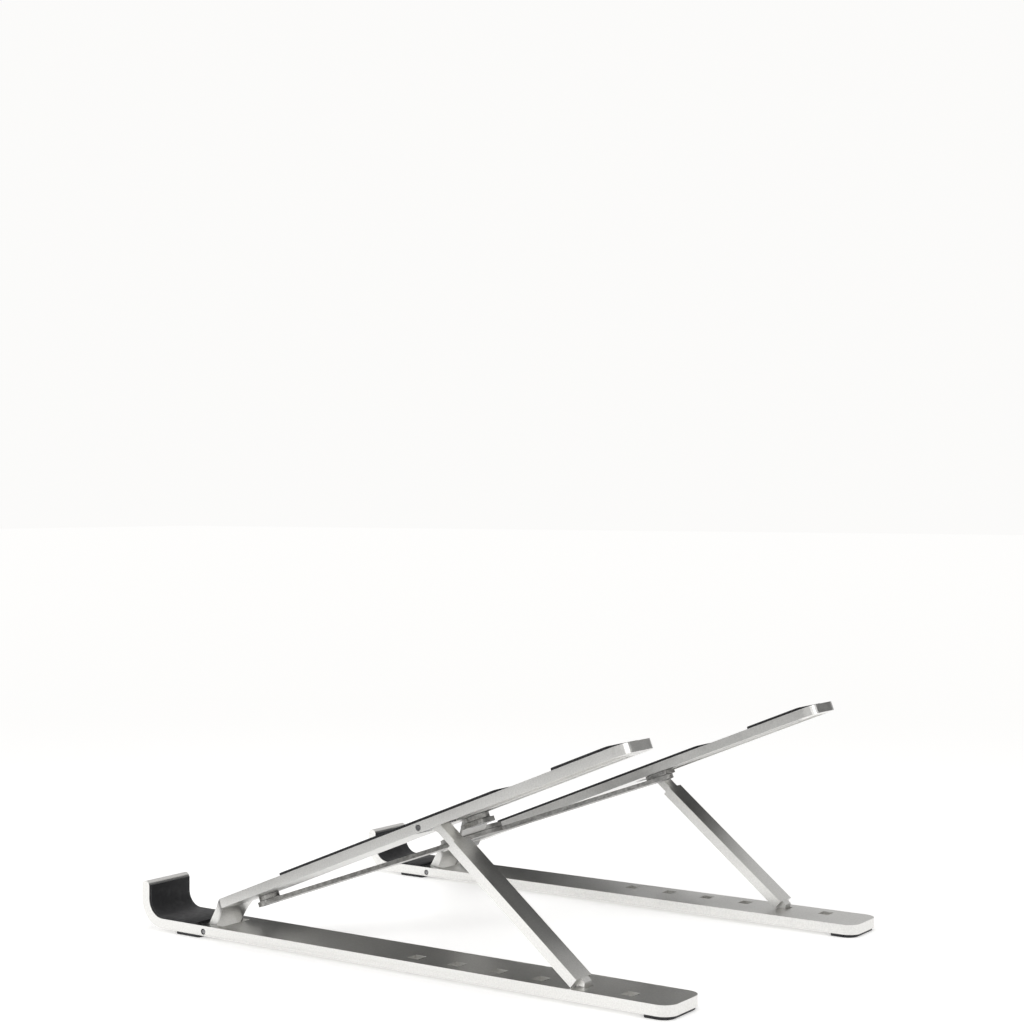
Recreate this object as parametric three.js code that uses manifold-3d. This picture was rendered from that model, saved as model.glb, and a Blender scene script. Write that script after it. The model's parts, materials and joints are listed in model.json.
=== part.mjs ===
// Folding laptop stand: two J-hooked base rails, two tilting upper rails joined by a scissor brace,
// and a drop strut under each upper rail whose foot stands in one of six height slots.
// Millimetres. +X is the user's right, -Y the hooked front edge, +Z up.
// The origin is the centre of the footprint, on the table.
import * as THREE from 'three';
import { mergeVertices } from 'three/addons/utils/BufferGeometryUtils.js';
import Module from 'manifold-3d';

const wasm = await Module();
wasm.setup();

const SIDES = { right: 1, left: -1 };
const GAP = 0.2; // working clearance between neighbouring pieces

// Plan width, the same for the base rail and the upper rail of a side
const RAIL_OUTER_X = 92;
const RAIL_WIDTH = 25;
const RAIL_INNER_X = RAIL_OUTER_X - RAIL_WIDTH;
const END_RADIUS = 6; // rounded corners at the rails' rear ends

// Base rail, measured from the axis of its front hinge pin
const BASE_TOP = 2.5;
const BASE_BOTTOM = -1.8;
const BASE_REAR_Y = 231.6;
const HOOK_INNER_RADIUS = 8;
const HOOK_OUTER_RADIUS = HOOK_INNER_RADIUS + BASE_TOP - BASE_BOTTOM;
const HOOK_CENTRE = { y: -24.5, z: BASE_TOP + HOOK_INNER_RADIUS };
const HOOK_LIP_TOP = 18;
const PIN_RADIUS = 1.1;
const HINGE_WINDOW = { x0: 71, x1: 88, y0: -2.4, y1: 8 };
const SLOT_FIRST_Y = 110;
const SLOT_PITCH = 20;
const SLOT_COUNT = 6;
const SLOT_X = 84;
const SLOT_SIZE = { x: 6, y: 5.2 };

// Silicone liner in the hook, and the feet
const PAD_THICKNESS = 0.8;
const LINER_REAR_Y = -4;
const LINER_LIP_TOP = HOOK_LIP_TOP - 1.6;
const PAD_MARGIN = 0.6; // how far pads and feet stop short of a rail's long edges
const FOOT_BOTTOM = -3.2;
const FRONT_FOOT_Y = [-17, -3];
const REAR_FOOT_Y = [219.6, BASE_REAR_Y - 1];

// The hinge pin's axis in the part's frame
const PIN_Y = -(BASE_REAR_Y + HOOK_CENTRE.y - HOOK_OUTER_RADIUS) / 2;
const PIN_Z = -FOOT_BOTTOM;

// Upper rail, in tilted coordinates: y along the rail from the pin, z square to it
const TILT = THREE.MathUtils.degToRad(22);
const UPPER_BOTTOM = 6.6;
const UPPER_TOP = 10.6;
const UPPER_REAR = BASE_REAR_Y; // both rails end flush when folded
const LEG_SLOPE = THREE.MathUtils.degToRad(38);
const LEG_HALF_THICKNESS = 2;
const LEG_X = [71.5, 87.5];
const LEG_FLARE = { radius: 10, y: 6 }; // the leg starts to widen at this y
const TOP_PADS = { front: [50, 170], rear: [197, 225] };
const TOP_PAD_TOP = 11.7;

// Strut, measured from its pivot: y down along the strut, z square to it, towards the rear
const STRUT_PIVOT = { y: 136.1, z: 8 };
const STRUT_SLOPE = THREE.MathUtils.degToRad(38.9);
const STRUT_X = [79.2, 90];
const STRUT_Z = [-3.1, 1.1];
const STRUT_LENGTH = 84.9;
const STRUT_WALL = 1.2;
const STRUT_POCKET_Y = [15, 80];
const NECK_LENGTH = 11;
const NECK_FRONT_Z = -2.1;
const NECK_FLARE_Y = 4.2; // above this the neck's front edge curves forward to its lip
const NECK_LIP = { y: -0.5, z: -4.4, thickness: 0.7 };
const NECK_OUTER_CUT = 1; // on the strut's +X side
const NECK_INNER_CUT = 3.2; // on its -X side
const STRUT_HEAD_RADIUS = 1.7;
const STRUT_PIN_RADIUS = 0.8;
const TONGUE_DEPTH = 0.6; // how far the foot reaches into its slot
const TONGUE_SIZE = { x: 5, y: 3.7 };
const TONGUE_PLAY = 0.4; // clearance ahead of the tongue in its slot
const TONGUE_LEAD = 0.3; // how much narrower the tongue is at its tip
const FOOT_SHOULDER = 1.9; // height of the tongue's root above the base rail
const FOOT_ROOT = { depth: 2, back: 0.1, front: 0.7 }; // how the tongue's root is set into the strut's end
const USED_SLOT = 4;

// Hinge block that carries the strut's pin, let into the underside of the upper rail
const BLOCK_Y = [126, 138.6];
const BLOCK_X = [79.3, 90.3];
const BLOCK_Z = [6.8, 9.6];
const BLOCK_FACE_Y = 134;
const BLOCK_RIVET = { y: 129.3, z: 8.5, headRadius: 1.1, shankRadius: 0.6 };
const RAIL_WALL_X = 90.7; // inner face of the upper rail's outer wall
const BLOCK_POCKET_TOP = 9.9;
const STRUT_GROOVE = { x: [78.6, 90.5], yEnd: 226, top: 9.35 };

// Track for the sliding end of a brace arm
const TRACK_X = 73;
const TRACK_Y = [137, 222];
const TRACK_MOUTH = 4.9;
const TRACK_CAVITY = { width: 8.6, z: [7.7, 9.4] };

// Scissor brace: two flat arms in two layers under the upper rails
const ARM_FRONT_Y = 25;
const ARM_REAR_Y = 144;
const ARM_MIDDLE_Y = (ARM_FRONT_Y + ARM_REAR_Y) / 2;
const ARM_LENGTH = Math.hypot(2 * TRACK_X, ARM_REAR_Y - ARM_FRONT_Y);
const ARM_ANGLE = Math.atan2(2 * TRACK_X, ARM_REAR_Y - ARM_FRONT_Y);
const ARM_WIDTH = 11;
const UPPER_LAYER = [4.5, 6.4];
const LOWER_LAYER = [2.4, 4.3];
const DISC_RADIUS = 14.3;
const RIVET_RADIUS = 2;
const RIVET_HEAD_RADIUS = 3.3;
const RIVET_HEAD_HEIGHT = 0.5;
const RIVET_HEAD_PROUD = 0.1; // the heads are let into the piece they hold, but for this much
const RIVET_TOP = 9.3;
const SPACER_RADIUS = 4.5;
const SLIDER_BLOCK = { halfX: 5.2, halfY: 5.6, radius: 1.5 };
const SLIDER_HEAD = { radius: 4, z: [7.9, 9.2] };
const CENTRE_RIVET_RADIUS = 2.8;
const CENTRE_HEAD = { radius: 5.5, height: 0.7, sunk: 0.1 };

const MATERIALS = {
  aluminium: { color: 0xc9cbce, roughness: 0.38, metalness: 1 },
  brace: { color: 0xa3a29d, roughness: 0.42, metalness: 1 },
  steel: { color: 0x8d9094, roughness: 0.3, metalness: 1 },
  silicone: { color: 0x17181a, roughness: 0.75, metalness: 0 },
};

// Turns a closed three.js geometry into a solid that can be joined and cut.
function solid(geometry) {
  const bare = geometry.index ? geometry.toNonIndexed() : geometry.clone();
  bare.deleteAttribute('normal');
  bare.deleteAttribute('uv');
  const merged = mergeVertices(bare, 1e-4);
  return new wasm.Manifold(new wasm.Mesh({
    numProp: 3,
    vertProperties: new Float32Array(merged.attributes.position.array),
    triVerts: new Uint32Array(merged.index.array),
  }));
}

function geometryOf(body) {
  const mesh = body.getMesh();
  const geometry = new THREE.BufferGeometry();
  geometry.setAttribute('position', new THREE.BufferAttribute(new Float32Array(mesh.vertProperties), 3));
  geometry.setIndex(new THREE.BufferAttribute(new Uint32Array(mesh.triVerts), 1));
  geometry.computeVertexNormals();
  return geometry;
}

function addPiece(group, name, material, body) {
  const mesh = new THREE.Mesh(geometryOf(body), new THREE.MeshStandardMaterial(MATERIALS[material]));
  mesh.name = name;
  group.add(mesh);
  return mesh;
}

function box([x0, x1], [y0, y1], [z0, z1]) {
  const geometry = new THREE.BoxGeometry(Math.abs(x1 - x0), y1 - y0, z1 - z0);
  geometry.translate((x0 + x1) / 2, (y0 + y1) / 2, (z0 + z1) / 2);
  return solid(geometry);
}

// A flat outline in X and Y, raised from one height to another.
function plate(shape, [z0, z1]) {
  const depth = z1 - z0;
  const geometry = new THREE.ExtrudeGeometry(shape, { depth, bevelEnabled: false, curveSegments: 12 });
  geometry.translate(0, 0, z0);
  return solid(geometry);
}

// A side outline in Y and Z, run across the part from one X to another.
function bar(shape, [x0, x1]) {
  const width = Math.abs(x1 - x0);
  const geometry = new THREE.ExtrudeGeometry(shape, { depth: width, bevelEnabled: false, curveSegments: 12 });
  const across = new THREE.Vector3(1, 0, 0);
  const along = new THREE.Vector3(0, 1, 0);
  const up = new THREE.Vector3(0, 0, 1);
  geometry.applyMatrix4(new THREE.Matrix4().makeBasis(along, up, across));
  geometry.translate(Math.min(x0, x1), 0, 0);
  return solid(geometry);
}

// Enough sides for a radius to look round.
function sidesFor(radius) {
  return 4 * Math.ceil(Math.max(24, radius * 5) / 4);
}

// A round rod along X.
function crossRod(radius, [x0, x1], y = 0, z = 0) {
  const geometry = new THREE.CylinderGeometry(radius, radius, Math.abs(x1 - x0), sidesFor(radius));
  geometry.rotateZ(Math.PI / 2);
  geometry.translate((x0 + x1) / 2, y, z);
  return solid(geometry);
}

// A round rod along Z.
function post(radius, [z0, z1], x, y) {
  const geometry = new THREE.CylinderGeometry(radius, radius, z1 - z0, sidesFor(radius));
  geometry.rotateX(Math.PI / 2);
  geometry.translate(x, y, (z0 + z1) / 2);
  return solid(geometry);
}

function polygon(points) {
  return new THREE.Shape(points.map(([x, y]) => new THREE.Vector2(x, y)));
}

// Both ends of an X range, moved to one side of the part.
function toSide(side, [x0, x1]) {
  return [side * x0, side * x1];
}

// Plan outline of a rail from a square front edge to a rear end with rounded corners.
function railPlan(side, x0, x1, front, rear, radius) {
  const shape = new THREE.Shape();
  const arc = (cx, start, end, clockwise) => {
    shape.absarc(side * cx, rear - radius, radius, start, end, clockwise);
  };
  shape.moveTo(side * x0, front);
  if (side > 0) {
    shape.lineTo(x1, front);
    arc(x1 - radius, 0, Math.PI / 2, false);
    arc(x0 + radius, Math.PI / 2, Math.PI, false);
  } else {
    shape.lineTo(-x1, front);
    arc(x1 - radius, Math.PI, Math.PI / 2, true);
    arc(x0 + radius, Math.PI / 2, 0, true);
  }
  shape.closePath();
  return shape;
}

// --- Base rail, its pads and its hinge pin: axis of the hinge pin at y = 0, z = 0 ---

function hookOutline() {
  const { y, z } = HOOK_CENTRE;
  const lipRadius = (HOOK_OUTER_RADIUS - HOOK_INNER_RADIUS) / 2;
  const shape = new THREE.Shape();
  shape.moveTo(BASE_REAR_Y, BASE_BOTTOM);
  shape.lineTo(BASE_REAR_Y, BASE_TOP);
  shape.lineTo(y, BASE_TOP);
  shape.absarc(y, z, HOOK_INNER_RADIUS, -Math.PI / 2, -Math.PI, true);
  shape.absarc(y - HOOK_INNER_RADIUS - lipRadius, HOOK_LIP_TOP - lipRadius, lipRadius, 0, Math.PI, false);
  shape.absarc(y, z, HOOK_OUTER_RADIUS, Math.PI, 1.5 * Math.PI, false);
  shape.closePath();
  return shape;
}

function baseRail(side) {
  const plan = railPlan(side, RAIL_INNER_X, RAIL_OUTER_X, HOOK_CENTRE.y - 20, BASE_REAR_Y, END_RADIUS);
  let rail = bar(hookOutline(), toSide(side, [RAIL_INNER_X, RAIL_OUTER_X]));
  rail = rail.intersect(plate(plan, [BASE_BOTTOM - 1, HOOK_LIP_TOP + 1]));
  const through = [BASE_BOTTOM - 1, BASE_TOP + 1];
  const window = HINGE_WINDOW;
  rail = rail.subtract(box(toSide(side, [window.x0, window.x1]), [window.y0, window.y1], through));
  rail = rail.subtract(crossRod(PIN_RADIUS + GAP, toSide(side, [RAIL_INNER_X - 1, RAIL_OUTER_X + 1])));
  for (let i = 0; i < SLOT_COUNT; i += 1) {
    const y = SLOT_FIRST_Y + i * SLOT_PITCH;
    const slotX = [SLOT_X - SLOT_SIZE.x / 2, SLOT_X + SLOT_SIZE.x / 2];
    rail = rail.subtract(box(toSide(side, slotX), [y - SLOT_SIZE.y / 2, y + SLOT_SIZE.y / 2], through));
  }
  return rail;
}

function hookLiner(side) {
  const { y, z } = HOOK_CENTRE;
  const outer = HOOK_INNER_RADIUS - GAP;
  const inner = outer - PAD_THICKNESS;
  const shape = new THREE.Shape();
  shape.moveTo(LINER_REAR_Y, z - outer);
  shape.lineTo(LINER_REAR_Y, z - inner);
  shape.lineTo(y, z - inner);
  shape.absarc(y, z, inner, -Math.PI / 2, -Math.PI, true);
  shape.lineTo(y - inner, LINER_LIP_TOP);
  shape.lineTo(y - outer, LINER_LIP_TOP);
  shape.absarc(y, z, outer, Math.PI, 1.5 * Math.PI, false);
  shape.closePath();
  return bar(shape, toSide(side, [RAIL_INNER_X + PAD_MARGIN, RAIL_OUTER_X - PAD_MARGIN]));
}

function addBase(group, name, side) {
  const padX = [RAIL_INNER_X + PAD_MARGIN, RAIL_OUTER_X - PAD_MARGIN];
  const footZ = [FOOT_BOTTOM, BASE_BOTTOM - GAP];
  const rearFoot = railPlan(side, padX[0], padX[1], REAR_FOOT_Y[0], REAR_FOOT_Y[1], END_RADIUS - 1);
  const pinX = toSide(side, [RAIL_INNER_X + GAP, RAIL_OUTER_X - GAP]);
  addPiece(group, `base_rail_${name}`, 'aluminium', baseRail(side));
  addPiece(group, `hook_pad_${name}`, 'silicone', hookLiner(side));
  addPiece(group, `front_foot_${name}`, 'silicone', box(toSide(side, padX), FRONT_FOOT_Y, footZ));
  addPiece(group, `rear_foot_${name}`, 'silicone', plate(rearFoot, footZ));
  addPiece(group, `front_hinge_pin_${name}`, 'steel', crossRod(PIN_RADIUS, pinX));
}

// --- Upper rail: the same axis, turned up by TILT ---

// Side outline of the rail with its leg bent down to a round eye at the hinge pin.
function upperOutline() {
  const half = LEG_HALF_THICKNESS;
  const slope = Math.tan(LEG_SLOPE);
  const square = half / Math.cos(LEG_SLOPE);
  const bendTop = (UPPER_TOP - square) / slope;
  const bendBottom = (UPPER_BOTTOM + square) / slope;
  const shape = new THREE.Shape();
  shape.moveTo(UPPER_REAR, UPPER_BOTTOM);
  shape.lineTo(UPPER_REAR, UPPER_TOP);
  shape.lineTo(bendTop + half, UPPER_TOP);
  const legTop = [bendTop - half * Math.cos(LEG_SLOPE), UPPER_TOP - half * Math.sin(LEG_SLOPE)];
  shape.quadraticCurveTo(bendTop, UPPER_TOP, ...legTop);
  shape.absarc(0, 0, half, LEG_SLOPE + Math.PI / 2, LEG_SLOPE + 1.5 * Math.PI, false);
  shape.lineTo(bendBottom, UPPER_BOTTOM);
  shape.closePath();
  return shape;
}

// Plan outline: a narrow leg that flares into the full-width rail, and rounded rear corners.
function upperPlan(side) {
  const [leg0, leg1] = LEG_X;
  const r = END_RADIUS;
  const flare = LEG_FLARE.radius;
  const turn = Math.acos(1 - (RAIL_OUTER_X - leg1) / flare);
  const front = -2 * LEG_HALF_THICKNESS;
  const shape = new THREE.Shape();
  const point = (x, y) => shape.lineTo(side * x, y);
  const corner = (cx, cy, radius, from, to) => {
    const steps = 8;
    for (let i = 0; i <= steps; i += 1) {
      const angle = from + ((to - from) * i) / steps;
      point(cx + radius * Math.cos(angle), cy + radius * Math.sin(angle));
    }
  };
  shape.moveTo(side * leg0, front);
  point(leg1, front);
  corner(leg1 + flare, LEG_FLARE.y, flare, Math.PI, Math.PI - turn);
  corner(RAIL_OUTER_X - r, UPPER_REAR - r, r, 0, Math.PI / 2);
  corner(RAIL_INNER_X + r, UPPER_REAR - r, r, Math.PI / 2, Math.PI);
  corner(leg0 - flare, LEG_FLARE.y, flare, turn, 0);
  shape.closePath();
  return shape;
}

function upperRail(side) {
  const below = UPPER_BOTTOM - 1;
  const groove = STRUT_GROOVE;
  const cavity = TRACK_CAVITY;
  let rail = bar(upperOutline(), toSide(side, [RAIL_INNER_X, RAIL_OUTER_X]));
  rail = rail.intersect(plate(upperPlan(side), [-10, UPPER_TOP + 1]));
  rail = rail.subtract(crossRod(PIN_RADIUS + GAP, toSide(side, [RAIL_INNER_X, RAIL_OUTER_X])));
  // pocket of the strut's hinge block, and the groove that the folded strut lies in
  const pocketX = toSide(side, [BLOCK_X[0] - 0.4, RAIL_WALL_X]);
  rail = rail.subtract(box(pocketX, [BLOCK_Y[0] - 0.3, BLOCK_Y[1] + 0.6], [below, BLOCK_POCKET_TOP]));
  rail = rail.subtract(box(toSide(side, groove.x), [BLOCK_Y[1], groove.yEnd], [below, groove.top]));
  const rivetX = toSide(side, [RAIL_WALL_X - 1, RAIL_OUTER_X + 1]);
  rail = rail.subtract(crossRod(BLOCK_RIVET.headRadius + GAP, rivetX, BLOCK_RIVET.y, BLOCK_RIVET.z));
  // T-shaped track of the sliding arm end, and the blind hole of the fixed one
  const mouth = [TRACK_X - TRACK_MOUTH / 2, TRACK_X + TRACK_MOUTH / 2];
  const wide = [TRACK_X - cavity.width / 2, TRACK_X + cavity.width / 2];
  rail = rail.subtract(box(toSide(side, mouth), TRACK_Y, [below, cavity.z[1]]));
  rail = rail.subtract(box(toSide(side, wide), TRACK_Y, cavity.z));
  return rail.subtract(post(RIVET_RADIUS + GAP, [below, RIVET_TOP + GAP], side * TRACK_X, ARM_FRONT_Y));
}

// The neck sits nearer the strut's +X side on both struts.
function neckX(side) {
  const [x0, x1] = toSide(side, STRUT_X).sort((a, b) => a - b);
  return [x0 + NECK_INNER_CUT, x1 - NECK_OUTER_CUT];
}

function hingeBlock(side) {
  const [neck0, neck1] = neckX(side);
  const fork = [neck0 - 0.3, neck1 + 0.3];
  const x = toSide(side, BLOCK_X);
  let block = box(x, BLOCK_Y, BLOCK_Z);
  block = block.subtract(box(fork, [BLOCK_FACE_Y, BLOCK_Y[1] + 1], [BLOCK_Z[0] - 1, BLOCK_Z[1] + 1]));
  const bore = toSide(side, [BLOCK_X[0] - 1, BLOCK_X[1] + 1]);
  block = block.subtract(crossRod(STRUT_PIN_RADIUS + GAP, bore, STRUT_PIVOT.y, STRUT_PIVOT.z));
  return block.subtract(crossRod(BLOCK_RIVET.shankRadius + GAP, bore, BLOCK_RIVET.y, BLOCK_RIVET.z));
}

function blockRivet(side) {
  const { y, z, headRadius, shankRadius } = BLOCK_RIVET;
  const shank = crossRod(shankRadius, toSide(side, [BLOCK_X[0], RAIL_WALL_X + 0.5]), y, z);
  return shank.add(crossRod(headRadius, toSide(side, [RAIL_WALL_X, RAIL_OUTER_X]), y, z));
}

function addUpper(group, name, side) {
  const padX = toSide(side, [RAIL_INNER_X + PAD_MARGIN, RAIL_OUTER_X - PAD_MARGIN]);
  const pinX = toSide(side, [BLOCK_X[0] + 0.1, BLOCK_X[1] - 0.1]);
  const padZ = [UPPER_TOP + GAP, TOP_PAD_TOP];
  addPiece(group, `upper_rail_${name}`, 'aluminium', upperRail(side));
  addPiece(group, `rail_pad_front_${name}`, 'silicone', box(padX, TOP_PADS.front, padZ));
  addPiece(group, `rail_pad_rear_${name}`, 'silicone', box(padX, TOP_PADS.rear, padZ));
  addPiece(group, `strut_hinge_block_${name}`, 'steel', hingeBlock(side));
  addPiece(group, `hinge_block_rivet_${name}`, 'steel', blockRivet(side));
  const strutPin = crossRod(STRUT_PIN_RADIUS, pinX, STRUT_PIVOT.y, STRUT_PIVOT.z);
  addPiece(group, `strut_pin_${name}`, 'steel', strutPin);
}

// --- Strut: pivot at the origin, turned down by STRUT_SLOPE ---

// The neck's front edge flares forward under the rail.
function neckOutline() {
  const back = STRUT_Z[1];
  const shape = new THREE.Shape();
  shape.moveTo(NECK_LIP.y, NECK_LIP.z);
  shape.quadraticCurveTo(NECK_FLARE_Y / 3, NECK_FRONT_Z, NECK_FLARE_Y, NECK_FRONT_Z);
  shape.lineTo(NECK_LENGTH + 1, NECK_FRONT_Z);
  shape.lineTo(NECK_LENGTH + 1, back);
  shape.lineTo(0, back);
  shape.lineTo(0, NECK_FRONT_Z / 2);
  shape.lineTo(NECK_LIP.thickness, NECK_FRONT_Z);
  shape.closePath();
  return shape;
}

function strut(side, tongueCorners) {
  const [x0, x1] = toSide(side, STRUT_X).sort((a, b) => a - b);
  const neck = neckX(side);
  const head = crossRod(STRUT_HEAD_RADIUS, neck);
  let body = bar(polygon([
    [NECK_LENGTH, STRUT_Z[0]],
    [STRUT_LENGTH, STRUT_Z[0]],
    [STRUT_LENGTH, STRUT_Z[1]],
    [NECK_LENGTH, STRUT_Z[1]],
  ]), [x0, x1]);
  const channel = [STRUT_Z[0] - 1, STRUT_Z[1] - STRUT_WALL];
  body = body.subtract(box([x0 + STRUT_WALL, x1 - STRUT_WALL], STRUT_POCKET_Y, channel));
  const tongueX = [side * SLOT_X - TONGUE_SIZE.x / 2, side * SLOT_X + TONGUE_SIZE.x / 2];
  body = body.add(bar(neckOutline(), neck)).add(head).add(bar(polygon(tongueCorners), tongueX));
  return body.subtract(crossRod(STRUT_PIN_RADIUS + GAP, [neck[0] - 1, neck[1] + 1]));
}

// The foot's tongue is upright in its slot while the rail stands at TILT, so its corners are
// worked out beside the hinge pin and then turned into the strut's own frame.
function tongueOutline() {
  const pivotY = STRUT_PIVOT.y * Math.cos(TILT) - STRUT_PIVOT.z * Math.sin(TILT);
  const pivotZ = STRUT_PIVOT.y * Math.sin(TILT) + STRUT_PIVOT.z * Math.cos(TILT);
  const intoStrut = (y, z) => {
    const dy = y - pivotY;
    const dz = z - pivotZ;
    const cos = Math.cos(STRUT_SLOPE);
    const sin = Math.sin(STRUT_SLOPE);
    return [dy * cos - dz * sin, dy * sin + dz * cos];
  };
  const slotY = SLOT_FIRST_Y + USED_SLOT * SLOT_PITCH;
  const front = slotY - SLOT_SIZE.y / 2 + TONGUE_PLAY;
  const rear = front + TONGUE_SIZE.y;
  const bottom = BASE_TOP - TONGUE_DEPTH;
  const inside = STRUT_LENGTH - FOOT_ROOT.depth;
  return [
    intoStrut(front, bottom),
    intoStrut(rear - TONGUE_LEAD, bottom),
    intoStrut(rear, BASE_TOP + FOOT_SHOULDER),
    [STRUT_LENGTH, STRUT_Z[1] - FOOT_ROOT.back],
    [inside, STRUT_Z[1] - FOOT_ROOT.back],
    [inside, STRUT_Z[0] + FOOT_ROOT.front],
    [STRUT_LENGTH, STRUT_Z[0] + FOOT_ROOT.front],
  ];
}

// --- Scissor brace, in the upper rails' tilted coordinates ---

// An arm's own frame has its middle at the origin and its rear end along +Y.
function armPlan() {
  const half = ARM_WIDTH / 2;
  const end = ARM_LENGTH / 2;
  const shape = new THREE.Shape();
  shape.absarc(0, -end, half, Math.PI, 2 * Math.PI, false);
  shape.absarc(0, end, half, 0, Math.PI, false);
  shape.closePath();
  return shape;
}

// A rivet's lower head, let into a downward face at this height.
function rivetHead(face, x, y) {
  const bottom = face - RIVET_HEAD_PROUD;
  return post(RIVET_HEAD_RADIUS, [bottom, bottom + RIVET_HEAD_HEIGHT], x, y);
}

// The seat cut for such a head.
function rivetSeat(face, x, y) {
  const top = face - RIVET_HEAD_PROUD + RIVET_HEAD_HEIGHT + GAP;
  return post(RIVET_HEAD_RADIUS + GAP, [face - 1, top], x, y);
}

// A bar with a round boss at its middle; seatEnds are the ends (-1 front, 1 rear) that take a rivet's head.
function arm(layer, outer, seatEnds) {
  const end = ARM_LENGTH / 2;
  const all = [layer[0] - 1, layer[1] + 1];
  let body = plate(armPlan(), layer).add(post(DISC_RADIUS, layer, 0, 0));
  body = body.subtract(post(RIVET_RADIUS + GAP, all, 0, -end));
  body = body.subtract(post(RIVET_RADIUS + GAP, all, 0, end));
  body = body.subtract(post(CENTRE_RIVET_RADIUS + GAP, all, 0, 0));
  for (const seatEnd of seatEnds) {
    body = body.subtract(rivetSeat(layer[0], 0, seatEnd * end));
  }
  // the centre rivet's head or cap is let into the arm's outer face
  const depth = CENTRE_HEAD.height + CENTRE_HEAD.sunk + GAP;
  const counterbore = outer > 0 ? [layer[1] - depth, all[1]] : [all[0], layer[0] + depth];
  return body.subtract(post(CENTRE_HEAD.radius + GAP, counterbore, 0, 0));
}

function addArm(group, name, body, angle) {
  const mesh = addPiece(group, name, 'brace', body);
  mesh.position.y = ARM_MIDDLE_Y;
  mesh.rotation.z = angle;
}

function frontRivet(side, layer) {
  const x = side * TRACK_X;
  const shank = post(RIVET_RADIUS, [layer[0], RIVET_TOP], x, ARM_FRONT_Y);
  return shank.add(rivetHead(layer[0], x, ARM_FRONT_Y));
}

function spacer(side) {
  const x = side * TRACK_X;
  const ring = post(SPACER_RADIUS, UPPER_LAYER, x, ARM_FRONT_Y);
  return ring.subtract(post(RIVET_RADIUS + GAP, [UPPER_LAYER[0] - 1, UPPER_BOTTOM], x, ARM_FRONT_Y));
}

// A block in the layer that the sliding arm end leaves free.
function sliderBlock(side, layer) {
  const { halfX, halfY, radius } = SLIDER_BLOCK;
  const x = side * TRACK_X;
  const shape = new THREE.Shape();
  const corners = [[1, 1], [-1, 1], [-1, -1], [1, -1]];
  corners.forEach(([towardsX, towardsY], i) => {
    const cx = x + towardsX * (halfX - radius);
    const cy = ARM_REAR_Y + towardsY * (halfY - radius);
    shape.absarc(cx, cy, radius, (i * Math.PI) / 2, ((i + 1) * Math.PI) / 2, false);
  });
  shape.closePath();
  return plate(shape, layer).subtract(post(RIVET_RADIUS + GAP, [layer[0] - 1, layer[1] + 1], x, ARM_REAR_Y));
}

function sliderRivet(side) {
  const x = side * TRACK_X;
  const shank = post(RIVET_RADIUS, [LOWER_LAYER[0], SLIDER_HEAD.z[1]], x, ARM_REAR_Y);
  const slidingHead = post(SLIDER_HEAD.radius, SLIDER_HEAD.z, x, ARM_REAR_Y);
  return shank.add(slidingHead).add(rivetHead(LOWER_LAYER[0], x, ARM_REAR_Y));
}

// The lower arm runs from front right to rear left, the upper arm from front left to rear right.
function addBrace(group) {
  const { radius, height, sunk } = CENTRE_HEAD;
  addArm(group, 'lower_arm', arm(LOWER_LAYER, -1, [-1, 1]), ARM_ANGLE);
  addArm(group, 'upper_arm', arm(UPPER_LAYER, 1, [-1]), -ARM_ANGLE);
  // the arms pivot on one rivet: its head is sunk into the upper arm, its cap into the lower one
  const top = UPPER_LAYER[1] - sunk;
  const bottom = LOWER_LAYER[0] + sunk;
  const rivet = post(CENTRE_RIVET_RADIUS, [bottom, top], 0, ARM_MIDDLE_Y);
  addPiece(group, 'centre_rivet', 'steel', rivet.add(post(radius, [top - height, top], 0, ARM_MIDDLE_Y)));
  const cap = post(radius, [bottom, bottom + height], 0, ARM_MIDDLE_Y);
  const capBore = post(CENTRE_RIVET_RADIUS + GAP, [bottom - 1, bottom + height + 1], 0, ARM_MIDDLE_Y);
  addPiece(group, 'centre_cap', 'steel', cap.subtract(capBore));
  // the lower arm's front end stands one layer below its rail
  addPiece(group, 'arm_spacer_right', 'brace', spacer(SIDES.right));
  addPiece(group, 'arm_front_rivet_right', 'steel', frontRivet(SIDES.right, LOWER_LAYER));
  addPiece(group, 'arm_front_rivet_left', 'steel', frontRivet(SIDES.left, UPPER_LAYER));
  const lowerBlock = sliderBlock(SIDES.right, LOWER_LAYER);
  const seat = rivetSeat(LOWER_LAYER[0], SIDES.right * TRACK_X, ARM_REAR_Y);
  addPiece(group, 'slider_block_right', 'brace', lowerBlock.subtract(seat));
  addPiece(group, 'slider_block_left', 'brace', sliderBlock(SIDES.left, UPPER_LAYER));
  for (const [name, side] of Object.entries(SIDES)) {
    addPiece(group, `slider_rivet_${name}`, 'steel', sliderRivet(side));
  }
}

const stand = new THREE.Group();
const atPin = new THREE.Group();
atPin.position.set(0, PIN_Y, PIN_Z);
stand.add(atPin);

const tilted = new THREE.Group();
tilted.rotation.x = TILT;
atPin.add(tilted);

for (const [name, side] of Object.entries(SIDES)) {
  addBase(atPin, name, side);
  addUpper(tilted, name, side);
  const hanging = new THREE.Group();
  hanging.position.set(0, STRUT_PIVOT.y, STRUT_PIVOT.z);
  hanging.rotation.x = -STRUT_SLOPE - TILT;
  tilted.add(hanging);
  addPiece(hanging, `strut_${name}`, 'aluminium', strut(side, tongueOutline()));
}
addBrace(tilted);

export default stand;
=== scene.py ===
import json
import math

import bmesh
import bpy
from mathutils import Matrix, Vector


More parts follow.
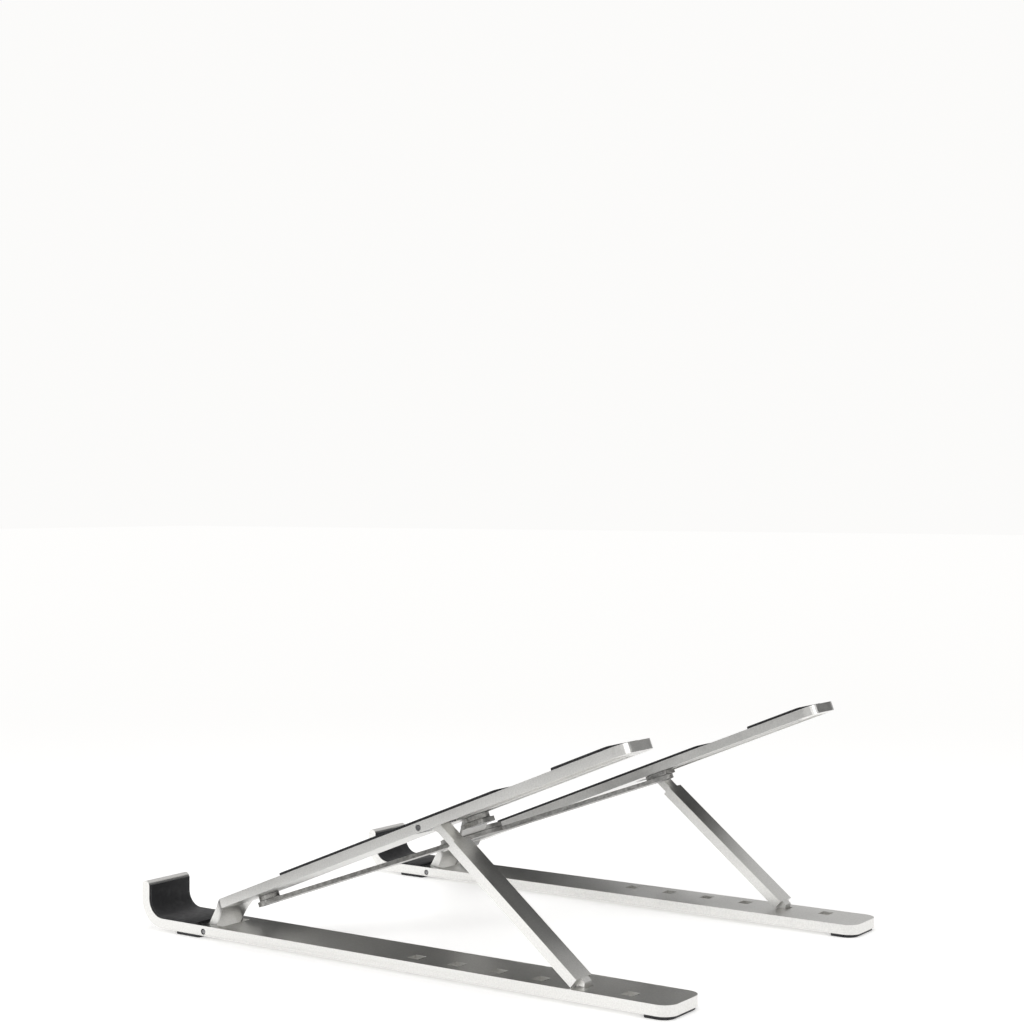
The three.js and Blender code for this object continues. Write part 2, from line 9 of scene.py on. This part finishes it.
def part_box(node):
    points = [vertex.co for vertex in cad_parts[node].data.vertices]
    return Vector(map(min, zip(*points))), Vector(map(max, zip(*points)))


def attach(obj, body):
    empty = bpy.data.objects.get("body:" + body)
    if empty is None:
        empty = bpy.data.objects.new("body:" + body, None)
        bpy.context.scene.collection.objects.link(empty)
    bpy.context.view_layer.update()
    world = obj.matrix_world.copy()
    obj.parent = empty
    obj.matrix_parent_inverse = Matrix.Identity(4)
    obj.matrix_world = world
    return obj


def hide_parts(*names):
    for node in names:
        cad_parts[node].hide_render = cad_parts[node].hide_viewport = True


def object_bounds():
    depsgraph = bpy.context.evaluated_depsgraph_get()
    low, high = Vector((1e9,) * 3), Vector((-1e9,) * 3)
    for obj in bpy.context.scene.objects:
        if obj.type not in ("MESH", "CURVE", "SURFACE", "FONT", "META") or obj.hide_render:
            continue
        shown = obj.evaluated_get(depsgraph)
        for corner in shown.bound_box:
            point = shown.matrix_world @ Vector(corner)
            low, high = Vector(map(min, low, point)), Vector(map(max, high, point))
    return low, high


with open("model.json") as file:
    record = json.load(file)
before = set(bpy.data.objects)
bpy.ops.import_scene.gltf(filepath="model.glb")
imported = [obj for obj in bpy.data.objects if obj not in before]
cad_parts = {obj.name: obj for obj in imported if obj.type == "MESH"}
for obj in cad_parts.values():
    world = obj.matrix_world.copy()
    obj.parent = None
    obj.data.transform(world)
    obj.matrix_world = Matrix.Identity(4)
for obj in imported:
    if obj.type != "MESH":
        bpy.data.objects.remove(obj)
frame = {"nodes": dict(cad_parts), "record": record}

MM = 0.001
CAD_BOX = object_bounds()
SIDES = {"right": 1, "left": -1}
JOINTS = {j["name"]: j for j in frame["record"]["behaviour"]["joints"]}
MOUNTS = {m["name"]: m for m in frame["record"]["mounts"]}

# The upper rails' frame: its origin on the hinge pins' axis, y along the rails, z square to them.
PIN = Vector(JOINTS["tilt_right"]["pos_m"])
PIN.x = 0
RAIL_NORMAL = Vector(MOUNTS["rail_pad_right"]["axis"])
TILT = math.atan2(-RAIL_NORMAL.y, RAIL_NORMAL.z)
RAILS = Matrix.Translation(PIN) @ Matrix.Rotation(TILT, 4, "X")
UPRIGHT = Matrix.Identity(4)

CHAMFER = 0.42 * MM  # the diamond-cut edge of the rails
FINE_CHAMFER = 0.22 * MM
PAD_EDGE = 0.35 * MM  # rounding of the silicone pieces' edges
LOAD = {"x": 174.5 * MM, "front": -12 * MM, "rear": 229 * MM, "thick": 24 * MM}  # a 15-inch laptop
SEAT = 0.2 * MM  # the CAD's clearance under each pad, which the real pad's glue line fills
SHARP = math.radians(35)  # edges that turn by more than this are cut, or shaded as sharp

RIVET_HEAD = {"radius": 3.3 * MM, "height": 0.5 * MM, "shank": 2 * MM}
LINER = {"outer": 8 * MM, "thickness": 1 * MM, "corner": 0.4 * MM}  # the strip in the hook

WHITE = (1, 0.995, 0.985, 1)
FAR_WHITE = 0.97  # brightness of the backdrop
WORLD_LIGHT = 0.62  # what the backdrop sheds on the stand
FLOOR_GLOW = 0.34  # the floor's painted glow (emission) next to the stand, rising to FAR_WHITE over the fade
FLOOR_FADE = (0.2, 1.0)
SOFTBOXES = {
    "overhead": {"location": (0.1, 0.1, 1.0), "size": (1.0, 1.0), "power": 2.2},
    "side": {"location": (0.95, -0.7, 0.35), "size": (1.0, 0.6), "power": 3.5},
    "behind": {"location": (-0.2, 1.1, 0.7), "size": (0.8, 0.5), "power": 2},
}


# --- camera, lights and floor ---

def add_camera():
    data = bpy.data.cameras.new("camera")
    data.lens = 67.13
    data.sensor_width = 36
    data.clip_start = 0.01
    camera = bpy.data.objects.new("camera", data)
    camera.location = (0.6928, 0.4799, 0.19)
    camera.rotation_euler = (math.radians(89.6), 0, math.radians(124.655))
    bpy.context.collection.objects.link(camera)
    bpy.context.scene.camera = camera


def add_softbox(name, target, location, size, power):
    data = bpy.data.lights.new(name, "AREA")
    data.shape = "RECTANGLE"
    data.size, data.size_y = size
    data.energy = power
    light = bpy.data.objects.new(name, data)
    light.location = location
    aim = Vector(target) - Vector(location)
    light.rotation_euler = aim.to_track_quat("-Z", "Y").to_euler()
    bpy.context.collection.objects.link(light)


def add_world():
    """White where the camera sees it, and softer where it lights the stand."""
    world = bpy.data.worlds.new("studio")
    world.use_nodes = True
    tree = world.node_tree
    background = tree.nodes["Background"]
    background.inputs["Color"].default_value = WHITE
    seen = tree.nodes.new("ShaderNodeLightPath").outputs["Is Camera Ray"]
    strength = tree.nodes.new("ShaderNodeMapRange")
    strength.inputs["To Min"].default_value = WORLD_LIGHT
    strength.inputs["To Max"].default_value = FAR_WHITE
    tree.links.new(seen, strength.inputs["Value"])
    tree.links.new(strength.outputs["Result"], background.inputs["Strength"])
    bpy.context.scene.world = world


def add_card(name, outline, z0, z1, matrix):
    """A dark card that only reflections see."""
    card = slab(name, outline, z0, z1, 0.001, matrix)
    paint(card, CARD)
    card.visible_camera = False
    card.visible_diffuse = False
    card.visible_shadow = False


def add_cards():
    """The metal is greyed by what it would mirror: a laptop's underside, and a far corner of the room.

    Seen from above, the first card also blackens the tops of the rails and the arms.
    """
    x, front, rear = LOAD["x"], LOAD["front"], LOAD["rear"]
    low = extent("rail_pad_front_right", RAILS)[1].z + 0.5 * MM
    outline = [(-x, front), (x, front), (x, rear), (-x, rear)]
    add_card("load", outline, low, low + LOAD["thick"], RAILS)
    corner = Matrix.Translation((-0.75, 0.62, 0)) @ Matrix.Rotation(math.radians(55), 4, "Z")
    add_card("corner", [(-0.35, -0.01), (0.35, -0.01), (0.35, 0.01), (-0.35, 0.01)], 0.12, 0.46, corner)


def add_studio():
    bpy.context.scene.view_settings.view_transform = "Standard"
    add_world()
    add_cards()
    centre = (CAD_BOX[0] + CAD_BOX[1]) / 2
    for name, softbox in SOFTBOXES.items():
        add_softbox(name, centre, **softbox)
    floor = slab("floor", [(-9, -9), (9, -9), (9, 9), (-9, 9)], -0.02, 0, 0.001, UPRIGHT)
    paint(floor, FLOOR)


# --- materials ---

class Nodes:
    """A material's node tree, with short calls for the nodes used here."""

    def __init__(self, name, colour, metallic, roughness):
        self.material = bpy.data.materials.new(name)
        self.material.use_nodes = True
        self.tree = self.material.node_tree
        self.shader = self.tree.nodes["Principled BSDF"]
        self.set("Base Color", (*colour, 1))
        self.set("Metallic", metallic)
        self.set("Roughness", roughness)
        self.coordinates = self.tree.nodes.new("ShaderNodeTexCoord").outputs["Object"]

    def set(self, socket, value):
        self.shader.inputs[socket].default_value = value

    def link(self, output, socket):
        self.tree.links.new(output, self.shader.inputs[socket])

    def stretched(self, scale):
        node = self.tree.nodes.new("ShaderNodeMapping")
        node.inputs["Scale"].default_value = scale
        self.tree.links.new(self.coordinates, node.inputs["Vector"])
        return node.outputs["Vector"]

    def noise(self, scale, detail=2.0, vector=None):
        node = self.tree.nodes.new("ShaderNodeTexNoise")
        node.inputs["Scale"].default_value = scale
        node.inputs["Detail"].default_value = detail
        self.tree.links.new(vector or self.coordinates, node.inputs["Vector"])
        return node.outputs["Fac"]

    def cells(self, scale):
        node = self.tree.nodes.new("ShaderNodeTexVoronoi")
        node.inputs["Scale"].default_value = scale
        self.tree.links.new(self.coordinates, node.inputs["Vector"])
        return node.outputs["Distance"]

    def spread(self, value, low, high, source=(0.3, 0.7)):
        node = self.tree.nodes.new("ShaderNodeMapRange")
        node.inputs["From Min"].default_value = source[0]
        node.inputs["From Max"].default_value = source[1]
        node.inputs["To Min"].default_value = low
        node.inputs["To Max"].default_value = high
        self.tree.links.new(value, node.inputs["Value"])
        return node.outputs["Result"]

    def two_tone(self, value, low, high, source=(0.35, 0.65)):
        node = self.tree.nodes.new("ShaderNodeValToRGB")
        first, last = node.color_ramp.elements
        first.position, last.position = source
        first.color = (*low, 1)
        last.color = (*high, 1)
        self.tree.links.new(value, node.inputs["Fac"])
        return node.outputs["Color"]

    def bumps(self, *layers):
        """Each layer is (height, depth in metres), the coarsest first."""
        normal = None
        for height, depth in layers:
            node = self.tree.nodes.new("ShaderNodeBump")
            node.inputs["Strength"].default_value = 1
            node.inputs["Distance"].default_value = depth
            self.tree.links.new(height, node.inputs["Height"])
            if normal:
                self.tree.links.new(normal, node.inputs["Normal"])
            normal = node.outputs["Normal"]
        self.link(normal, "Normal")


def satin_aluminium(name, tone, roughness):
    """Bead-blasted and clear anodised: a fine sparkle, faint clouding, a few handling marks."""
    m = Nodes(name, tone, 1, roughness)
    grain = m.noise(2600, 1.5)
    clouds = m.noise(38, 3)
    dark = tuple(0.9 * c for c in tone)
    m.link(m.two_tone(m.noise(1500, 3), dark, tone), "Base Color")
    m.link(m.spread(clouds, roughness - 0.05, roughness + 0.06), "Roughness")
    m.bumps((clouds, 0.00003), (grain, 0.000045))
    return m.material


def cut_edge():
    """The diamond-cut chamfers are bright, with faint tool marks along them."""
    m = Nodes("cut_edge", (0.93, 0.94, 0.95), 1, 0.2)
    marks = m.noise(900, 1, m.stretched((1, 0.15, 1)))
    m.link(m.spread(marks, 0.14, 0.28), "Roughness")
    return m.material


def brushed_plate():
    """The brace arms are greyer than the rails, with a grain along the sheet."""
    m = Nodes("brushed_plate", (0.4, 0.395, 0.38), 1, 0.36)
    grain = m.noise(700, 3, m.stretched((0.35, 1.4, 1)))
    m.link(m.two_tone(grain, (0.3, 0.295, 0.285), (0.5, 0.495, 0.48)), "Base Color")
    m.link(m.spread(grain, 0.3, 0.46), "Roughness")
    m.bumps((grain, 0.00002), (m.noise(2400), 0.00003))
    return m.material


def turned_steel():
    m = Nodes("turned_steel", (0.22, 0.22, 0.225), 1, 0.32)
    m.link(m.two_tone(m.noise(600, 3), (0.17, 0.17, 0.175), (0.27, 0.27, 0.275)), "Base Color")
    m.link(m.spread(m.noise(1200), 0.22, 0.4), "Roughness")
    m.bumps((m.noise(3000), 0.00001))
    return m.material


def silicone():
    """Matt black rubber with a moulded grain and a little dust."""
    m = Nodes("silicone", (0.016, 0.016, 0.018), 0, 0.62)
    m.set("Specular IOR Level", 0.4)
    m.set("Sheen Weight", 0.12)
    m.set("Sheen Roughness", 0.5)
    dust = m.two_tone(m.noise(260, 5), (0.012, 0.012, 0.014), (0.03, 0.03, 0.033), (0.5, 0.8))
    m.link(dust, "Base Color")
    m.link(m.spread(m.noise(500), 0.55, 0.72), "Roughness")
    m.bumps((m.cells(1800), 0.00002), (m.noise(4000), 0.00001))
    return m.material


def pale_floor():
    """Matt white round the stand, fading into the backdrop's own white further out. The floor has a
    painted glow: it emits light, weakly next to the stand and more with distance, while its own colour
    fades out. The glow lightens the shadows on it and lights the stand from below.
    """
    m = Nodes("pale_floor", (0.9, 0.9, 0.9), 0, 0.95)
    m.set("Specular IOR Level", 0.1)
    m.set("Emission Color", WHITE)
    distance = m.tree.nodes.new("ShaderNodeVectorMath")
    distance.operation = "LENGTH"
    m.tree.links.new(m.coordinates, distance.inputs[0])
    away = distance.outputs["Value"]
    # painted glow: emission strength rises with distance from the stand
    m.link(m.spread(away, FLOOR_GLOW, FAR_WHITE, FLOOR_FADE), "Emission Strength")
    m.link(m.two_tone(away, (0.9, 0.9, 0.9), (0, 0, 0), FLOOR_FADE), "Base Color")
    return m.material


def dark_card():
    m = Nodes("dark_card", (0.03, 0.03, 0.03), 0, 0.9)
    m.link(m.two_tone(m.noise(4), (0.02, 0.02, 0.02), (0.04, 0.04, 0.04)), "Base Color")
    return m.material


SATIN = satin_aluminium("satin_aluminium", (0.83, 0.825, 0.805), 0.33)
EDGE = cut_edge()
PLATE = brushed_plate()
STEEL = turned_steel()
SILICONE = silicone()
FLOOR = pale_floor()
CARD = dark_card()


# --- mesh helpers ---

def paint(piece, *materials):
    piece.data.materials.clear()
    for material in materials:
        piece.data.materials.append(material)


def piece_from(name, mesh_builder, matrix):
    """A new object from a bmesh built in a local frame, with its place put into its mesh."""
    mesh_builder.transform(matrix)
    bmesh.ops.recalc_face_normals(mesh_builder, faces=mesh_builder.faces)
    mesh = bpy.data.meshes.new(name)
    mesh_builder.to_mesh(mesh)
    mesh_builder.free()
    for face in mesh.polygons:
        face.use_smooth = True
    mesh.set_sharp_from_angle(angle=SHARP)
    piece = bpy.data.objects.new(name, mesh)
    bpy.context.collection.objects.link(piece)
    return piece


def bridge(builder, rings):
    """Skins a list of rings of points, each with the same number of points, and closes both ends."""
    loops = [[builder.verts.new(p) for p in ring] for ring in rings]
    for a, b in zip(loops, loops[1:]):
        for i in range(len(a)):
            j = (i + 1) % len(a)
            builder.faces.new((a[i], a[j], b[j], b[i]))
    builder.faces.new(loops[0][::-1])
    builder.faces.new(loops[-1])


def inset(outline, distance):
    """The outline moved inwards, each point along the mean of its two sides' normals."""
    count = len(outline)
    moved = []
    for i in range(count):
        before, here, after = (Vector(outline[k % count]) for k in (i - 1, i, i + 1))
        first = (here - before).normalized()
        second = (after - here).normalized()
        normal = Vector((-first.y - second.y, first.x + second.x)).normalized()
        spread = max(0.3, normal.dot(Vector((-first.y, first.x))))
        moved.append(here + normal * (distance / spread))
    return moved


def slab(name, outline, z0, z1, edge, matrix):
    """A flat piece with rounded upper edges."""
    steps = 5
    angles = [i * math.pi / 2 / steps for i in range(steps + 1)]
    levels = [(0, z0)]
    levels += [(edge * (1 - math.cos(a)), z1 - edge + edge * math.sin(a)) for a in angles]
    rings = [[(p.x, p.y, z) for p in inset(outline, d)] for d, z in levels]
    builder = bmesh.new()
    bridge(builder, rings)
    return piece_from(name, builder, matrix)


def rounded_plan(x0, x1, y0, y1, front_radius, rear_radius):
    """Anticlockwise outline of a rectangle with rounded corners."""
    steps = 8
    corners = [
        (x0 + front_radius, y0 + front_radius, front_radius, math.pi),
        (x1 - front_radius, y0 + front_radius, front_radius, 1.5 * math.pi),
        (x1 - rear_radius, y1 - rear_radius, rear_radius, 0),
        (x0 + rear_radius, y1 - rear_radius, rear_radius, 0.5 * math.pi),
    ]
    points = []
    for cx, cy, radius, start in corners:
        for i in range(steps + 1):
            angle = start + i * math.pi / 2 / steps
            points.append((cx + radius * math.cos(angle), cy + radius * math.sin(angle)))
    return points


def turned(name, profile, matrix):
    """A turned piece about local Z. The profile is (radius, height) from end to end."""
    sides = 56
    builder = bmesh.new()
    rings = []
    for radius, height in profile:
        ring = []
        for i in range(sides):
            angle = 2 * math.pi * i / sides
            ring.append((radius * math.cos(angle), radius * math.sin(angle), height))
        rings.append(ring)
    bridge(builder, rings)
    return piece_from(name, builder, matrix)


def extent(node, matrix):
    """Lowest and highest corner of a CAD node in a local frame."""
    inverse = matrix.inverted()
    points = [inverse @ v.co for v in frame["nodes"][node].data.vertices]
    low = Vector([min(p[k] for p in points) for k in range(3)])
    high = Vector([max(p[k] for p in points) for k in range(3)])
    return low, high


def stand_for(piece, node, body, material):
    paint(piece, material)
    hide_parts(node)
    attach(piece, body)


def machined(node, face_material, edge_material, chamfer):
    """A CAD piece keeps its shape and gets cut edges, with a finish of their own."""
    piece = frame["nodes"][node]
    paint(piece, face_material, edge_material)
    for face in piece.data.polygons:
        face.use_smooth = True
    flat = piece.modifiers.new("flat", "DECIMATE")
    flat.decimate_type = "DISSOLVE"
    flat.angle_limit = math.radians(0.5)
    cut = piece.modifiers.new("cut", "BEVEL")
    cut.width = chamfer
    cut.segments = 2
    cut.limit_method = "ANGLE"
    cut.angle_limit = SHARP
    cut.harden_normals = True
    cut.material = 1


# --- silicone pieces ---

def add_top_pad(name, side):
    node = f"rail_pad_{name}_{side}"
    low, high = extent(node, RAILS)
    outline = rounded_plan(low.x, high.x, low.y, high.y, 2 * MM, 2 * MM)
    pad = slab(f"pad_{name}_{side}", outline, low.z - SEAT, high.z, PAD_EDGE, RAILS)
    stand_for(pad, node, f"upper_{side}", SILICONE)


def add_foot(name, side, rear_radius):
    node = f"{name}_foot_{side}"
    low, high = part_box(node)
    low, high = Vector(low), Vector(high)
    outline = rounded_plan(low.x, high.x, low.y, high.y, 1.2 * MM, rear_radius)
    flip = Matrix.Translation((0, 0, low.z + high.z + SEAT)) @ Matrix.Scale(-1, 4, (0, 0, 1))
    foot = slab(f"foot_{name}_{side}", outline, low.z, high.z + SEAT, PAD_EDGE, flip)
    stand_for(foot, node, f"base_{side}", SILICONE)


def add_hook_liner(side):
    """A strip that lies along the base rail, turns up round the hook and ends on its lip."""
    node = f"hook_pad_{side}"
    low, high = map(Vector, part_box(node))
    outer, thickness, corner = LINER["outer"], LINER["thickness"], LINER["corner"]
    flat_steps, bend_steps, lip_steps, corner_steps = 6, 18, 4, 5
    centre = Vector((0, low.y - SEAT + outer, low.z - SEAT + outer))
    half = (high.x - low.x) / 2
    middle = (high.x + low.x) / 2
    quarter = math.pi / 2

    def section(origin, normal):
        """The strip's outline at one place: flat against the hook, with two rounded corners."""
        points = [Vector((middle + half, origin.y, origin.z))]
        for sign in (1, -1):
            for i in range(corner_steps + 1):
                turn = i * quarter / corner_steps
                angle = turn if sign > 0 else quarter - turn
                across = sign * (half - corner + corner * math.cos(angle))
                depth = thickness - corner + corner * math.sin(angle)
                points.append(Vector((middle + across, origin.y, origin.z)) + normal * depth)
        points.append(Vector((middle - half, origin.y, origin.z)))
        return points

    rings = []
    for i in range(flat_steps):
        y = centre.y + (high.y - centre.y) * (1 - i / flat_steps)
        rings.append(section(Vector((0, y, centre.z - outer)), Vector((0, 0, 1))))
    for i in range(bend_steps + 1):
        angle = -quarter - i * quarter / bend_steps
        out = Vector((0, math.cos(angle), math.sin(angle)))
        rings.append(section(centre + out * outer, -out))
    lip = high.z - centre.z
    for i in range(1, lip_steps + 1):
        z = centre.z + lip * i / lip_steps
        rings.append(section(Vector((0, centre.y - outer, z)), Vector((0, 1, 0))))
    builder = bmesh.new()
    bridge(builder, rings)
    liner = piece_from(f"hook_liner_{side}", builder, UPRIGHT)
    stand_for(liner, node, f"base_{side}", SILICONE)


# --- turned pieces ---

def along_x(y, z):
    """Local Z runs along the part's X, at that y and z."""
    return Matrix.Translation((0, y, z)) @ Matrix.Rotation(math.pi / 2, 4, "Y")


def pin_profile(low, high, radius, chamfer):
    """Chamfered ends, each with a shallow dimple in its middle."""
    dimple = radius * 0.35
    bottom = dimple * 0.1
    depth = chamfer * 0.8
    return [
        (bottom, low + depth),
        (dimple, low),
        (radius - chamfer, low),
        (radius, low + chamfer),
        (radius, high - chamfer),
        (radius - chamfer, high),
        (dimple, high),
        (bottom, high - depth),
    ]


def add_hinge_pin(side):
    node = f"front_hinge_pin_{side}"
    low, high = map(Vector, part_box(node))
    radius = (high.z - low.z) / 2
    place = along_x((low.y + high.y) / 2, (low.z + high.z) / 2)
    pin = turned(f"hinge_pin_{side}", pin_profile(low.x, high.x, radius, 0.2 * MM), place)
    stand_for(pin, node, f"base_{side}", STEEL)


def domed(radius, low, high, shank, top):
    """A rivet seen from below: a low dome, then its shank up to the top."""
    steps = 6
    fullness = 0.8
    tip = 0.02 * MM
    profile = [(tip, low)]
    for i in range(1, steps + 1):
        angle = i * math.pi / 2 / steps
        rise = (high - low) * fullness * (1 - math.cos(angle))
        profile.append((radius * math.sin(angle), low + rise))
    return [*profile, (radius, high), (shank, high), (shank, top), (tip, top)]


def add_arm_rivet(node, body):
    low, high = extent(node, RAILS)
    centre = (low + high) / 2
    place = RAILS @ Matrix.Translation((centre.x, centre.y, 0))
    head_top = low.z + RIVET_HEAD["height"]
    profile = domed(RIVET_HEAD["radius"], low.z, head_top, RIVET_HEAD["shank"], high.z)
    rivet = turned(f"{node}_turned", profile, place)
    stand_for(rivet, node, body, STEEL)


# --- the stand ---

add_camera()
add_studio()

for side in SIDES:
    machined(f"base_rail_{side}", SATIN, EDGE, CHAMFER)
    machined(f"upper_rail_{side}", SATIN, EDGE, CHAMFER)
    machined(f"strut_{side}", SATIN, EDGE, FINE_CHAMFER)
    machined(f"strut_hinge_block_{side}", STEEL, STEEL, FINE_CHAMFER)
    machined(f"hinge_block_rivet_{side}", STEEL, STEEL, 0.12 * MM)
    machined(f"strut_pin_{side}", STEEL, STEEL, 0.12 * MM)
    machined(f"slider_block_{side}", PLATE, EDGE, 0.12 * MM)
    add_top_pad("front", side)
    add_top_pad("rear", side)
    add_foot("front", side, 1.2 * MM)
    add_foot("rear", side, 5 * MM)
    add_hook_liner(side)
    add_hinge_pin(side)
    add_arm_rivet(f"arm_front_rivet_{side}", f"upper_{side}")
    machined(f"slider_rivet_{side}", STEEL, STEEL, 0.15 * MM)

machined("lower_arm", PLATE, EDGE, FINE_CHAMFER)
machined("upper_arm", PLATE, EDGE, FINE_CHAMFER)
machined("arm_spacer_right", PLATE, EDGE, 0.1 * MM)
machined("centre_rivet", STEEL, STEEL, 0.15 * MM)
machined("centre_cap", STEEL, STEEL, 0.15 * MM)
